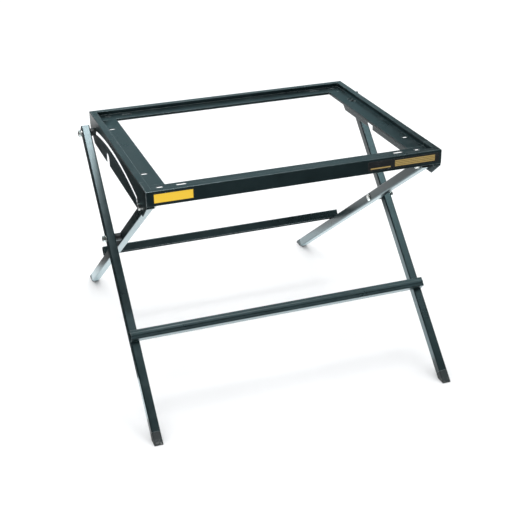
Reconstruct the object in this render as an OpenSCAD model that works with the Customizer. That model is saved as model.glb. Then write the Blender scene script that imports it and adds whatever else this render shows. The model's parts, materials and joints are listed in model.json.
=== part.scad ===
// Folding bench stand with two crossed leg pairs.
// X runs across, Y runs from front to back, Z is up. The floor is Z = 0.

/* [Top frame] */
// Width over the two side rails
frame_width = 650; // [500:10:800]
// Depth over the front and rear rails
frame_depth = 546; // [440:10:680]
// Height of the top edge above the floor
stand_height = 560; // [460:10:680]
// Thickness of the pressed steel sheet
sheet = 1.6; // [1.2:0.1:2.5]
// Width of the raised outer lip
lip_width = 15; // [10:1:24]
// Drop from the lip down to the shelf
shelf_drop = 9; // [6:0.5:14]
// Width of a rail from its outer face to the shelf's inner edge
rail_width = 53; // [44:1:70]
// Depth of the small turned-down hem at the inner edge of the side and rear shelves
hem_depth = 6; // [4:0.5:10]
// Depth of the same hem on the front rail
front_hem_depth = 2.4; // [2:0.2:6]
// Depth of the front and rear skirts
skirt_depth = 31.5; // [26:0.5:38]
// Depth of the side plates that carry the legs
plate_depth = 67; // [60:1:90]
// Length of the sloping cut at each end of a side plate
plate_slope_run = 38; // [20:1:60]
// Width of the flange that turns in behind the front and rear skirts
tab_width = 17; // [10:1:30]
// How far that flange shows below the skirts
tab_show = 5.5; // [2:0.5:10]
// Step between the shelf's inner edge and the joint of a corner with its side rail
corner_step = 3; // [2:0.5:8]

/* [Mounting slots] */
// Width of the fixing slots
slot_width = 8; // [6:0.5:12]
// Length of the short fixing slots on the side shelves and in the corners
short_slot_length = 14; // [10:1:18]
// Length of the long fixing slots on the front and rear shelves
long_slot_length = 22; // [12:1:40]
// Distance between the front and rear slots of a side shelf
side_slot_spacing = 300; // [200:10:330]
// Side slots in from the outer face
side_slot_inset = 27.5; // [24:0.5:40]
// Corner slots in from the outer face of the side rails
corner_slot_inset = 39; // [34:0.5:42]
// Long slots in from the outer face of the side rails
long_slot_inset = 84; // [70:1:110]
// Front slots behind the front face
front_slot_inset = 41.5; // [28:0.5:42]
// Rear slots in front of the rear face
rear_slot_inset = 31; // [26:0.5:42]
// Diameter of the round hole in the right shelf
shelf_hole_diameter = 13; // [8:1:16]
// Round hole in front of the rear right slot
shelf_hole_offset = 16; // [14:1:30]

/* [Legs] */
// Width of the leg tubes across the stand
tube_width = 20; // [18:1:30]
// Depth of the leg tubes
tube_depth = 22; // [18:1:30]
// Wall thickness of the leg tubes
tube_wall = 1.5; // [1.2:0.1:2.5]
// Outer corner radius of the leg tubes
tube_corner = 3; // [2:0.5:5]
// Length of leg beyond the top bolt
leg_top_over = 14; // [12:1:20]
// Reach of the rear feet behind the rear rail
rear_foot_reach = 236; // [180:5:280]
// Gap between the side plate and the inner leg
inner_gap = 3; // [2.6:0.1:6]
// Gap between the side plate and the outer leg
outer_gap = 10; // [8:0.5:16]

/* [Fold geometry] */
// Leg pivot behind the front face
pivot_inset = 57; // [50:1:70]
// Leg pivot below the top edge
pivot_drop = 52; // [48:1:60]
// Open end of the guide slot in front of the rear face
slot_rear_inset = 47; // [40:1:60]
// Open end of the guide slot below the top edge
slot_rear_drop = 36; // [34:1:42]
// Folded end of the guide slot behind the leg pivot
slot_front_gap = 30; // [28:1:36]
// Folded end of the guide slot above the leg pivot
slot_front_rise = 7; // [5:0.5:9]
// Height of the guide slot's curve above a straight line
slot_curve = 20; // [14:1:21]
// Width of the curved guide slot
guide_width = 10; // [9:0.5:12]
// Depth of the catch at the folded end of the guide slot
catch_depth = 9; // [6:0.5:10]

/* [Crossbars] */
// Width of the crossbar channels
bar_width = 22; // [18:1:30]
// Depth of the crossbar channels
bar_depth = 20; // [14:1:26]
// Rear crossbar behind the rear rail when folded
rear_bar_offset = 86; // [40:2:110]
// Front crossbar behind the rear rail when folded
front_bar_offset = 45; // [30:1:60]
// Height of the pressed bead along each crossbar
bead_height = 1; // [0.5:0.1:1.5]
// Width of the bead's flat top
bead_width = 6; // [4:0.5:8]

/* [Hardware] */
// Shank diameter of the pivot bolts
bolt_diameter = 8; // [6:0.5:10]
// Width across flats of the hex nuts and heads
hex_flats = 13; // [11:0.5:17]
// Outer diameter of the spacers
spacer_diameter = 18; // [14:0.5:20]
// Outer diameter of the washers
washer_diameter = 16; // [14:0.5:20]
// Thread that shows beyond each nut
thread_show = 1; // [0:0.5:4]

/* [Feet] */
// Length of the foot's plug inside the tube
foot_plug = 22; // [12:1:42]
// Reach of the toe beyond the middle of the leg
foot_toe = 11.5; // [9:0.5:13]

/* [Stickers] */
// Small sticker in from the left outer face
small_sticker_inset = 15; // [6:1:40]
// Large sticker in from the right outer face
large_sticker_inset = 6; // [4:1:40]
// Width of the small sticker
small_sticker_width = 83; // [50:1:100]
// Width of the large sticker
large_sticker_width = 166; // [100:2:180]
// Height of the stickers
sticker_height = 21; // [14:0.5:24]

/* [Hidden] */
$fn = 48;
// Clearances
seam = 0.15;
air = 0.4;
running = 0.05;
touch = 0.02;
slip = 0.2;
notch_air = 6;
notch_rise = 1;
// How far a cutting block runs past a face, and how far one cut runs into the next
cut = 1;
lap = 0.1;
foot_block = 200;
// Half sizes
half_w = frame_width / 2;
half_d = frame_depth / 2;
plate_in = half_w - sheet;
shelf_z = stand_height - shelf_drop;
side_slot_y = side_slot_spacing / 2;
corner_length = rail_width + corner_step;
tab_low = stand_height - skirt_depth - tab_show;
bolt_r = bolt_diameter / 2;
bore_r = bolt_r + running;
// Leg pivot, open slot end and rear foot, measured from the middle of the frame
pivot_y = pivot_inset - half_d;
pivot_z = stand_height - pivot_drop;
open_y = half_d - slot_rear_inset;
open_z = stand_height - slot_rear_drop;
rear_foot_y = half_d + rear_foot_reach;
// Inner leg direction, then the cross pivot that lets both leg pairs lie flat
inner_angle = atan2(pivot_z, rear_foot_y - pivot_y);
span_y = open_y - pivot_y;
span_z = open_z - pivot_z;
span_along = span_y * cos(inner_angle) - span_z * sin(inner_angle);
front_sq = slot_front_gap * slot_front_gap + slot_front_rise * slot_front_rise;
upper_inner = (span_y * span_y + span_z * span_z - front_sq) / (2 * (span_along - slot_front_gap));
cross_y = pivot_y + upper_inner * cos(inner_angle);
cross_z = pivot_z - upper_inner * sin(inner_angle);
upper_outer = sqrt(pow(open_y - cross_y, 2) + pow(open_z - cross_z, 2));
outer_angle = atan2(open_z - cross_z, open_y - cross_y);
front_foot_y = open_y - open_z / tan(outer_angle);
inner_length = pivot_z / sin(inner_angle);
outer_length = open_z / sin(outer_angle);
// Folded slot end and the circle that the guide slot follows
folded_y = pivot_y + slot_front_gap;
folded_z = pivot_z + slot_front_rise;
chord = sqrt(pow(open_y - folded_y, 2) + pow(open_z - folded_z, 2));
chord_angle = atan2(open_z - folded_z, open_y - folded_y);
arc_r = (chord * chord / 4 + slot_curve * slot_curve) / (2 * slot_curve);
arc_y = (open_y + folded_y) / 2 + (arc_r - slot_curve) * sin(chord_angle);
arc_z = (open_z + folded_z) / 2 - (arc_r - slot_curve) * cos(chord_angle);
arc_half = asin(chord / 2 / arc_r);
// Notch that takes the cross pivot spacer when folded
notch_y = pivot_y + upper_inner;
notch_r = spacer_diameter / 2 + notch_air;
notch_z = pivot_z + spacer_diameter / 2 + notch_rise - notch_r;
// The stand's origin is midway between the feet
mid_y = -(front_foot_y + rear_foot_y) / 2;
// Positions across
inner_out = plate_in - inner_gap;
inner_in = inner_out - tube_width;
outer_in = half_w + outer_gap;
outer_out = outer_in + tube_width;
// Crossbars along their legs
rear_bar_s = half_d - pivot_y + rear_bar_offset;
front_bar_s = half_d - folded_y + front_bar_offset;
// Hardware thicknesses
head_t = 5.3;
nut_t = 6.5;
washer_t = 1.4;
low_head_t = 2.2;
wide_head_t = 3.2;
wide_head_diameter = 18;
inner_nut_end = inner_in - washer_t - nut_t;
outer_nut_end = outer_out + washer_t + nut_t;
sticker_t = 0.3;

steel = [0.20, 0.26, 0.28];
zinc = [0.78, 0.79, 0.78];
rubber = [0.55, 0.58, 0.58];

// ---- shared shapes ----

// A flat outline drawn in Y and Z, given thickness along X
module side_slab(x_from, x_to) {
  translate([x_from, 0, 0])
    rotate([90, 0, 90])
      linear_extrude(x_to - x_from)
        children();
}

// A round bar along X
module x_rod(r, x_from, x_to) {
  translate([x_from, 0, 0])
    rotate([0, 90, 0])
      cylinder(r = r, h = x_to - x_from);
}

// A hexagonal bar along X
module x_hex(flats, x_from, x_to) {
  translate([x_from, 0, 0])
    rotate([0, 90, 0])
      cylinder(r = flats / sqrt(3), h = x_to - x_from, $fn = 6);
}

// A ring along X
module x_ring(r_out, r_in, x_from, x_to) {
  difference() {
    x_rod(r_out, x_from, x_to);
    x_rod(r_in, x_from - cut, x_to + cut);
  }
}

// The same shape on the right and, mirrored, on the left
module both_sides() {
  children();
  mirror([1, 0, 0])
    children();
}

module at_pivot() {
  translate([0, mid_y + pivot_y, pivot_z])
    children();
}

module at_cross() {
  translate([0, mid_y + cross_y, cross_z])
    children();
}

module at_guide() {
  translate([0, mid_y + open_y, open_z])
    children();
}

// Local frame of the inner leg: Y runs down the leg, Z stands off its rear face
module on_inner_leg() {
  at_pivot()
    rotate([-inner_angle, 0, 0])
      children();
}

// Local frame of the outer leg: Y runs down the leg, Z stands off its front face
module on_outer_leg() {
  at_guide()
    rotate([0, 0, 180])
      rotate([-outer_angle, 0, 0])
        children();
}

module rounded_box_2d(w, d, r) {
  square([w - 2 * r, d], center = true);
  square([w, d - 2 * r], center = true);
  for (sx = [-1, 1], sy = [-1, 1])
    translate([sx * (w / 2 - r), sy * (d / 2 - r)])
      circle(r = r);
}

// ---- top frame ----

// Cross-section of a rail: X is the distance in from the outer face, Y is height
module rail_profile(depth, hem) {
  top = stand_height;
  polygon([
    [0, top - depth],
    [0, top],
    [lip_width, top],
    [lip_width, shelf_z],
    [rail_width, shelf_z],
    [rail_width, shelf_z - hem],
    [rail_width - sheet, shelf_z - hem],
    [rail_width - sheet, shelf_z - sheet],
    [lip_width - sheet, shelf_z - sheet],
    [lip_width - sheet, top - sheet],
    [sheet, top - sheet],
    [sheet, top - depth]
  ]);
}

// Everything between two 45 degree cuts that start at the front corners
module front_wedge() {
  translate([0, -half_d, 0])
    linear_extrude(stand_height + cut)
      polygon([
        [-half_w, 0],
        [half_w, 0],
        [half_w - 2 * rail_width, 2 * rail_width],
        [-half_w + 2 * rail_width, 2 * rail_width]
      ]);
}

// The front right corner, up to where the side rail is joined on
module corner_wedge() {
  linear_extrude(stand_height + cut)
    polygon([
      [half_w, -half_d - lap],
      [half_w, -half_d + corner_length],
      [half_w - rail_width - cut, -half_d + corner_length],
      [half_w - corner_length - lap, -half_d + corner_length - lap],
    ]);
}

// A fixing slot whose length runs along X
module fixing_slot(length) {
  reach = (length - slot_width) / 2;
  translate([0, 0, shelf_z - sheet - cut]) {
    for (sx = [-1, 1])
      translate([sx * reach, 0, 0])
        cylinder(r = slot_width / 2, h = sheet + 2 * cut);
    translate([-reach, -slot_width / 2, 0])
      cube([2 * reach, slot_width, sheet + 2 * cut]);
  }
}

// A side rail's lip, step, shelf and hem, without its side plate
module side_shelf_shape() {
  skip = sheet + seam;
  intersection() {
    translate([half_w, half_d, 0])
      rotate([90, 0, 0])
        linear_extrude(frame_depth)
          mirror([1, 0, 0])
            rail_profile(shelf_drop, hem_depth);
    translate([0, -half_d, 0])
      cube([half_w - skip, frame_depth, stand_height + cut]);
  }
}

// The front or rear rail with both corners, its slots at the given inset
module end_rail_shape(slot_inset, hem) {
  difference() {
    union() {
      intersection() {
        translate([-half_w, -half_d, 0])
          rotate([90, 0, 90])
            linear_extrude(frame_width)
              rail_profile(skirt_depth, hem);
        front_wedge();
      }
      both_sides()
        intersection() {
          side_shelf_shape();
          corner_wedge();
        }
    }
    both_sides() {
      translate([half_w - long_slot_inset, -half_d + slot_inset, 0])
        fixing_slot(long_slot_length);
      translate([half_w - corner_slot_inset, -half_d + slot_inset, 0])
        fixing_slot(short_slot_length);
    }
  }
}

// The long curved slot that guides the outer legs
module guide_slot_cut() {
  r = guide_width / 2;
  reach = arc_r * 2;
  x_from = plate_in - cut;
  x_to = half_w + cut;
  intersection() {
    translate([0, arc_y, arc_z])
      x_ring(arc_r + r, arc_r - r, x_from, x_to);
    translate([0, arc_y, arc_z])
      rotate([chord_angle, 0, 0])
        side_slab(x_from - cut, x_to + cut)
          polygon([
            [0, 0],
            [reach * sin(arc_half), reach * cos(arc_half)],
            [-reach * sin(arc_half), reach * cos(arc_half)]
          ]);
  }
  translate([0, open_y, open_z])
    x_rod(r, x_from, x_to);
  translate([0, folded_y, folded_z])
    x_rod(r, x_from, x_to);
  translate([0, folded_y, folded_z - catch_depth])
    x_rod(r, x_from, x_to);
  translate([x_from, folded_y - r, folded_z - catch_depth])
    cube([x_to - x_from, guide_width, catch_depth]);
}

module notch_cut() {
  x_from = plate_in - cut;
  x_to = half_w + cut;
  low = stand_height - plate_depth - cut;
  translate([0, notch_y, notch_z])
    x_rod(notch_r, x_from, x_to);
  translate([x_from, notch_y - notch_r, low])
    cube([x_to - x_from, 2 * notch_r, notch_z - low]);
}

// Outline of a side plate with its sloping ends, just inside the front and rear skirts
module plate_outline() {
  low = stand_height - plate_depth;
  reach = half_d - sheet - seam;
  polygon([
    [-reach, stand_height],
    [reach, stand_height],
    [reach, tab_low],
    [half_d - plate_slope_run, low],
    [-half_d + plate_slope_run, low],
    [-reach, tab_low]
  ]);
}

module side_rail_shape() {
  tab_high = stand_height - sheet - seam;
  tab_y = half_d - 1.5 * sheet - seam;
  rail_half = half_d - corner_length - seam;
  difference() {
    union() {
      intersection() {
        translate([half_w, half_d, 0])
          rotate([90, 0, 0])
            linear_extrude(frame_depth)
              mirror([1, 0, 0])
                rail_profile(shelf_drop * 2, hem_depth);
        translate([0, -rail_half, 0])
          cube([half_w, 2 * rail_half, stand_height + cut]);
      }
      side_slab(plate_in, half_w)
        plate_outline();
      for (sy = [-1, 1])
        translate([half_w - tab_width, sy * tab_y - sheet / 2, tab_low])
          cube([tab_width - sheet / 2, sheet, tab_high - tab_low]);
    }
    guide_slot_cut();
    notch_cut();
    translate([0, pivot_y, pivot_z])
      x_rod(bore_r, plate_in - cut, half_w + cut);
    for (sy = [-1, 1])
      translate([half_w - side_slot_inset, sy * side_slot_y, 0])
        fixing_slot(short_slot_length);
  }
}

module front_rail() {
  color(steel)
    translate([0, mid_y, 0])
      end_rail_shape(front_slot_inset, front_hem_depth);
}

module rear_rail() {
  color(steel)
    translate([0, mid_y, 0])
      mirror([0, 1, 0])
        end_rail_shape(rear_slot_inset, hem_depth);
}

module left_side_rail() {
  color(steel)
    translate([0, mid_y, 0])
      mirror([1, 0, 0])
        side_rail_shape();
}

module right_side_rail() {
  color(steel)
    translate([0, mid_y, 0])
      difference() {
        side_rail_shape();
        translate([half_w - side_slot_inset, side_slot_y - shelf_hole_offset, shelf_z - sheet - cut])
          cylinder(d = shelf_hole_diameter, h = sheet + 2 * cut);
      }
}

module sticker(width) {
  translate([0, mid_y - half_d - sticker_t, stand_height - skirt_depth / 2 - sticker_height / 2])
    cube([width, sticker_t, sticker_height]);
}

module small_sticker() {
  color([0.90, 0.74, 0.12])
    translate([-half_w + small_sticker_inset, 0, 0])
      sticker(small_sticker_width);
}

module large_sticker() {
  color([0.10, 0.11, 0.12])
    translate([half_w - large_sticker_inset - large_sticker_width, 0, 0])
      sticker(large_sticker_width);
}

// ---- inner leg pivot ----

module leg_pivot_bolts() {
  color(zinc)
    at_pivot()
      both_sides() {
        x_hex(hex_flats, half_w + touch, half_w + head_t);
        x_rod(bolt_r, inner_nut_end - thread_show, half_w + cut);
      }
}

module leg_pivot_spacers() {
  color(zinc)
    at_pivot()
      both_sides()
        x_ring(washer_diameter / 2, bore_r, inner_out + lap, plate_in - running);
}

module leg_pivot_washers() {
  color(zinc)
    at_pivot()
      both_sides()
        x_ring(washer_diameter / 2, bore_r, inner_in - washer_t, inner_in - lap);
}

module leg_pivot_nuts() {
  color(zinc)
    at_pivot()
      both_sides()
        difference() {
          x_hex(hex_flats, inner_nut_end, inner_in - washer_t - running);
          x_rod(bolt_r, inner_nut_end - cut, inner_in);
        }
}

// ---- legs ----

// A square tube along Y, centred on the axis
module tube_along_y(y_from, y_to) {
  translate([0, y_from, 0])
    rotate([-90, 0, 0])
      linear_extrude(y_to - y_from)
        difference() {
          rounded_box_2d(tube_width, tube_depth, tube_corner);
          rounded_box_2d(tube_width - 2 * tube_wall, tube_depth - 2 * tube_wall, tube_corner - tube_wall);
        }
}

// A leg tube with its top bore and cross bore
module leg_tube(length, cross_s) {
  reach = tube_width / 2 + cut;
  difference() {
    tube_along_y(-leg_top_over, length - tube_depth);
    for (s = [0, cross_s])
      translate([0, s, 0])
        x_rod(bore_r, -reach, reach);
  }
}

// A rubber foot with a plug inside the tube end and a head cut level with the floor
module foot_shape(length, angle) {
  head_s = length - tube_depth;
  bore_w = tube_width - 2 * tube_wall;
  bore_d = tube_depth - 2 * tube_wall;
  difference() {
    union() {
      translate([0, head_s, 0])
        rotate([-90, 0, 0])
          linear_extrude(3 * tube_depth)
            rounded_box_2d(tube_width, tube_depth, tube_corner);
      translate([0, head_s - foot_plug, 0])
        rotate([-90, 0, 0])
          linear_extrude(foot_plug + cut)
            rounded_box_2d(bore_w, bore_d, tube_corner - tube_wall);
    }
    translate([0, length, 0])
      rotate([angle, 0, 0]) {
        translate([-tube_width, -foot_block / 2, -foot_block])
          cube([2 * tube_width, foot_block, foot_block]);
        translate([-tube_width, foot_toe, -foot_block / 2])
          cube([2 * tube_width, foot_block, foot_block]);
      }
  }
}

module inner_leg_shape() {
  translate([inner_in + tube_width / 2, 0, 0])
    on_inner_leg()
      leg_tube(inner_length, upper_inner);
}

module outer_leg_shape() {
  translate([outer_in + tube_width / 2, 0, 0])
    on_outer_leg()
      leg_tube(outer_length, upper_outer);
}

module inner_foot_shape() {
  translate([inner_in + tube_width / 2, 0, 0])
    on_inner_leg()
      foot_shape(inner_length, inner_angle);
}

module outer_foot_shape() {
  translate([outer_in + tube_width / 2, 0, 0])
    on_outer_leg()
      foot_shape(outer_length, outer_angle);
}

module left_inner_leg() {
  color(steel)
    mirror([1, 0, 0])
      inner_leg_shape();
}

module right_inner_leg() {
  color(steel)
    inner_leg_shape();
}

module left_inner_foot() {
  color(rubber)
    mirror([1, 0, 0])
      inner_foot_shape();
}

module right_inner_foot() {
  color(rubber)
    inner_foot_shape();
}

module left_outer_leg() {
  color(steel)
    mirror([1, 0, 0])
      outer_leg_shape();
}

module right_outer_leg() {
  color(steel)
    outer_leg_shape();
}

module left_outer_foot() {
  color(rubber)
    mirror([1, 0, 0])
      outer_foot_shape();
}

module right_outer_foot() {
  color(rubber)
    outer_foot_shape();
}

// ---- crossbars ----

// A channel across the stand, open towards the legs, with a pressed bead
module crossbar_shape(half_length, s) {
  low = tube_depth / 2 + touch;
  high = low + bar_depth;
  middle = bar_width / 2;
  foot_of_bead = bead_width / 2 + bead_height;
  translate([half_length, s, 0])
    rotate([90, 0, -90])
      linear_extrude(2 * half_length)
        polygon([
          [0, low],
          [0, high],
          [-middle + foot_of_bead, high],
          [-middle + bead_width / 2, high + bead_height],
          [-middle - bead_width / 2, high + bead_height],
          [-middle - foot_of_bead, high],
          [-bar_width, high],
          [-bar_width, low],
          [-bar_width + sheet, low],
          [-bar_width + sheet, high - sheet],
          [-sheet, high - sheet],
          [-sheet, low]
        ]);
}

module rear_crossbar() {
  color(steel)
    on_inner_leg()
      crossbar_shape(inner_out, rear_bar_s);
}

module front_crossbar() {
  color(steel)
    on_outer_leg()
      crossbar_shape(outer_out, front_bar_s);
}

// ---- cross pivot ----

module cross_pivot_bolts() {
  color(zinc)
    at_cross()
      both_sides() {
        x_rod(wide_head_diameter / 2, inner_in - wide_head_t, inner_in - touch);
        x_rod(bolt_r, inner_in - cut, outer_in - air);
      }
}

module cross_pivot_spacers() {
  color(steel)
    at_cross()
      both_sides()
        x_ring(spacer_diameter / 2, bore_r, inner_out + touch, outer_in - air);
}

module cross_pivot_studs() {
  color(zinc)
    at_cross()
      both_sides()
        x_rod(bolt_r, outer_in + air, outer_nut_end + thread_show);
}

module cross_pivot_washers() {
  color(zinc)
    at_cross()
      both_sides()
        x_ring(washer_diameter / 2, bore_r, outer_out + touch, outer_out + washer_t);
}

module cross_pivot_nuts() {
  color(zinc)
    at_cross()
      both_sides()
        difference() {
          x_hex(hex_flats, outer_out + washer_t + touch, outer_nut_end);
          x_rod(bolt_r, outer_out, outer_nut_end + cut);
        }
}

// ---- guide bolts that run in the curved slots ----

module guide_bolts() {
  color(zinc)
    at_guide()
      both_sides() {
        x_rod(washer_diameter / 2, plate_in - low_head_t - slip, plate_in - slip);
        x_rod(bolt_r, plate_in - cut, outer_nut_end + thread_show);
      }
}

module guide_spacers() {
  color(steel)
    at_guide()
      both_sides()
        difference() {
          union() {
            x_rod(guide_width / 2 - running, plate_in - lap, half_w + cut);
            x_rod(spacer_diameter / 2, half_w + slip, outer_in - slip);
          }
          x_rod(bolt_r, plate_in - cut, outer_in + cut);
        }
}

module guide_washers() {
  color(zinc)
    at_guide()
      both_sides()
        x_ring(washer_diameter / 2, bolt_r, outer_out + slip, outer_out + washer_t);
}

module guide_nuts() {
  color(zinc)
    at_guide()
      both_sides()
        difference() {
          x_hex(hex_flats, outer_out + washer_t + touch, outer_nut_end);
          x_rod(bolt_r, outer_out, outer_nut_end + cut);
        }
}

front_rail();
rear_rail();
left_side_rail();
right_side_rail();
small_sticker();
large_sticker();
leg_pivot_bolts();
leg_pivot_spacers();
leg_pivot_washers();
leg_pivot_nuts();
left_inner_leg();
right_inner_leg();
left_inner_foot();
right_inner_foot();
rear_crossbar();
cross_pivot_bolts();
cross_pivot_spacers();
left_outer_leg();
right_outer_leg();
left_outer_foot();
right_outer_foot();
front_crossbar();
cross_pivot_studs();
cross_pivot_washers();
cross_pivot_nuts();
guide_bolts();
guide_spacers();
guide_washers();
guide_nuts();
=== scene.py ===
"""Folding work stand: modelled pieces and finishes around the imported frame.

Laid out as an add-on and run as a script. Everything is in metres, in the frame's own axes:
X runs across the stand, Y from the front rail to the rear rail, Z is up from the floor.
"""
import json
import math

import bmesh
import bpy
from mathutils import Matrix, Vector


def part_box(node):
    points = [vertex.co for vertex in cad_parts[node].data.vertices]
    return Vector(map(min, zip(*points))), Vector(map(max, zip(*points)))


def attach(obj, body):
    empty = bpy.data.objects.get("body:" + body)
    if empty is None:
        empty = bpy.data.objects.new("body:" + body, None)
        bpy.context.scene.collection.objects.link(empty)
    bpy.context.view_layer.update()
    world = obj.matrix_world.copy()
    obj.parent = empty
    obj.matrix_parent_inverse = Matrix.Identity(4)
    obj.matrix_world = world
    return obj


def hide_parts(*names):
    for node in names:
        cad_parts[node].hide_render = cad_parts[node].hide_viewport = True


bl_info = {
    "name": "Folding Work Stand",
    "version": (1, 0, 0),
    "blender": (4, 5, 0),
    "location": "View3D > Sidebar > Stand",
    "description": "Models the rails, legs, feet, crossbars, fasteners and stickers of a folding work stand",
    "category": "Object",
}

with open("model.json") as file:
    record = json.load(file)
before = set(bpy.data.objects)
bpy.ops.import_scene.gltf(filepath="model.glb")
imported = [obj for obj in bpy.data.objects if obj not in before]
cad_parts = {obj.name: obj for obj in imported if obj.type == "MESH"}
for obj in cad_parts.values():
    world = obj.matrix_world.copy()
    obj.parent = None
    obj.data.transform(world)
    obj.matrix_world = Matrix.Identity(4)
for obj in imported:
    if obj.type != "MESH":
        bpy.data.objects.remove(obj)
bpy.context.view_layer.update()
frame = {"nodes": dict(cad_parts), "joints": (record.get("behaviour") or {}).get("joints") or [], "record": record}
X, Y, Z = 0, 1, 2
JOINT_AT = {j["name"]: Vector(j["pos_m"]) for j in frame["joints"]}
MOUNT_AT = {m["name"]: Vector(m["pos_m"]) for m in frame["record"]["mounts"]}


# ---- places taken from the frame ----

def span(node, axis):
    """Lowest and highest place of a frame node along X, Y or Z."""
    low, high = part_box(node)
    return low[axis], high[axis]


def middle(node):
    """Middle of a frame node's box."""
    low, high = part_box(node)
    return (low + high) / 2


PIVOT = JOINT_AT["leg_fold"]
GUIDE = JOINT_AT["outer_leg_swing"]
CROSS = middle("cross_pivot_nuts")
REAR_FOOT = MOUNT_AT["rear_right_foot"]
FRONT_FOOT = MOUNT_AT["front_right_foot"]
TOP_Z = span("front_rail", Z)[1]
FRONT_Y = span("front_rail", Y)[0]
REAR_Y = span("rear_rail", Y)[1]
HALF_W = span("front_rail", X)[1]
INNER_ANGLE = math.atan2(PIVOT.z, REAR_FOOT.y - PIVOT.y)
OUTER_ANGLE = math.atan2(GUIDE.z, GUIDE.y - FRONT_FOOT.y)
INNER_LENGTH = PIVOT.z / math.sin(INNER_ANGLE)
OUTER_LENGTH = GUIDE.z / math.sin(OUTER_ANGLE)
# A leg's own axes: Y runs down the leg from its top bolt, Z stands off its outer face
ON_INNER_LEG = Matrix.Translation((0, PIVOT.y, PIVOT.z)) @ Matrix.Rotation(-INNER_ANGLE, 4, "X")
ON_OUTER_LEG = (Matrix.Translation((0, GUIDE.y, GUIDE.z)) @ Matrix.Rotation(math.pi, 4, "Z")
                @ Matrix.Rotation(-OUTER_ANGLE, 4, "X"))
LEG_PAIRS = {"inner": (INNER_LENGTH, INNER_ANGLE, ON_INNER_LEG),
             "outer": (OUTER_LENGTH, OUTER_ANGLE, ON_OUTER_LEG)}
# The axis each rail runs along, the axis it faces along and the place of its outer face
RAILS = {"front_rail": (X, Y, FRONT_Y), "rear_rail": (X, Y, REAR_Y),
         "left_side_rail": (Y, X, -HALF_W), "right_side_rail": (Y, X, HALF_W)}


# ---- fine detail, in metres ----

SAME_PLACE = 0.00002      # places closer than this count as one
JOINED = 1e-6             # vertices closer than this are merged while modelling
JOINED_AT_END = 4e-6      # and on a finished shape
NO_LENGTH = 8e-6          # shorter edges are dissolved on a finished shape
WELD_GAP = 0.00002        # air between a crossbar and its legs
HOLE_PLAY = 0.00005       # room between a bolt and its hole
HEAD_GAP = 0.00005        # air between a head and the leg it rests on
WASHER_R = 0.008
WASHER_RIM = 0.0002
SPACER_RIM = 0.0003
NUT_RIM = 0.00015
MOULDED_R = 0.009         # outer radius of the nylon spacers
MOULDED_RIM = 0.0006
BUSH_R = 0.00495          # the part of a guide spacer that runs in the slot
HEX_HEAD = 0.0053         # thickness of the leg pivot bolts' heads
ROUND_HEAD_R = 0.009      # the cross pivot's wide head
LOW_HEAD_R = 0.008        # the slot bolts' low head
PLATE_GAP = 0.0002        # air between the side plate and what slides along it
SHANK_BITE = 0.0005       # how far the shank reaches into its hexagonal head
LEG_THREAD = 0.011        # threaded length of the leg pivot bolts
OUTER_THREAD = 0.010      # threaded length of the bolts with a nut outside
TIP_CHAMFER = 0.0006
FOOT_ROUND = 0.0009       # rounding of the rubber's edges
PLUG_BITE = 0.001         # how far a foot's plug reaches into its head
BAR_BEND = 0.0022         # bends of the crossbar channels
BEAD_BEND = 0.0006
BEAD_REACH = 0.0005       # edges this near the bead belong to it
FILM_BEVEL = 0.00008      # worn rim of the stickers
KEYLINE = 0.0012          # dark line around a sticker
PRINT_EDGE = 0.00012      # softness of a printed edge
RULE_HALF = 0.0013        # half the height of a printed rule

# Parts of a thread's pitch: its depth, and where its crest starts and ends
THREAD_DEPTH, CREST_FROM, CREST_TO = 0.45, 0.40, 0.60
LAST_CREST = 0.97         # the last crest's radius over the shank's
# The cone that cuts a hexagon's corners: its widest radius over the corner's, its face over the flats,
# and its depth over the difference
CONE_OVER, CONE_FACE, CONE_DEPTH = 1.02, 0.97, 0.55


# ---- the studio ----

DOWN, UP, FORWARD = (0.0, 0.0, -1.0), (0.0, 0.0, 1.0), (0.0, -1.0, 0.0)
FLOOR_SIZE = 24.0
SKY_TINT, SKY_STRENGTH = (0.99, 0.995, 1.0), 1.18
# Of each light: name, middle, the way it shines, size, radiance and tint
SOFT_LIGHT = ("overhead", (0.0, 0.2, 3.4), (0.0, -0.2, -3.4), (3.2, 1.2), 2.6, (1.0, 1.0, 1.0))
HIGHLIGHTS = (
    ("leg_highlight", (0.08, -0.50, 3.0), DOWN, (0.9, 0.52), 42.0, (0.92, 0.97, 1.0)),
    ("leg_band", (1.00, -1.64, 3.0), DOWN, (2.8, 0.16), 9.0, (0.75, 0.95, 1.0)),
    ("right_leg_highlight", (1.60, -0.95, 3.0), DOWN, (0.9, 0.60), 8.5, (0.70, 0.96, 1.0)),
    ("edge_highlight", (0.90, 1.50, 3.0), DOWN, (3.2, 0.8), 7.0, (0.90, 0.98, 1.0)),
    ("back", (0.2, 3.2, 1.75), FORWARD, (3.7, 1.7), 0.48, (0.55, 0.92, 1.0)),
    ("low_back", (1.0, 3.2, 0.74), FORWARD, (2.6, 0.36), 4.0, (0.85, 0.97, 1.0)),
    ("under", (0.15, 0.08, 0.003), UP, (1.5, 0.8), 1.25, (0.70, 0.93, 1.0)))
# Of each dark card: name, middle and size. The cards lie just over the light called under, because
# they hide it where they overlap
CARDS = (("left_card", (-0.935, 0.78, 0.004), (1.13, 1.86)),
         ("front_card", (0.30, -1.70, 0.004), (3.2, 1.60)))
CAMERA_PLACE = (-0.7615, -2.3086, 1.3730)
CAMERA_RIGHT, CAMERA_DOWN, CAMERA_ROLL = 19.383, 26.283, -0.941      # degrees
SENSOR_WIDTH, LENS = 36.0, 73.93                                     # millimetres
CAMERA_REACH = 60.0                                                  # metres


# ---- sizes and colours a user may change ----

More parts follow.
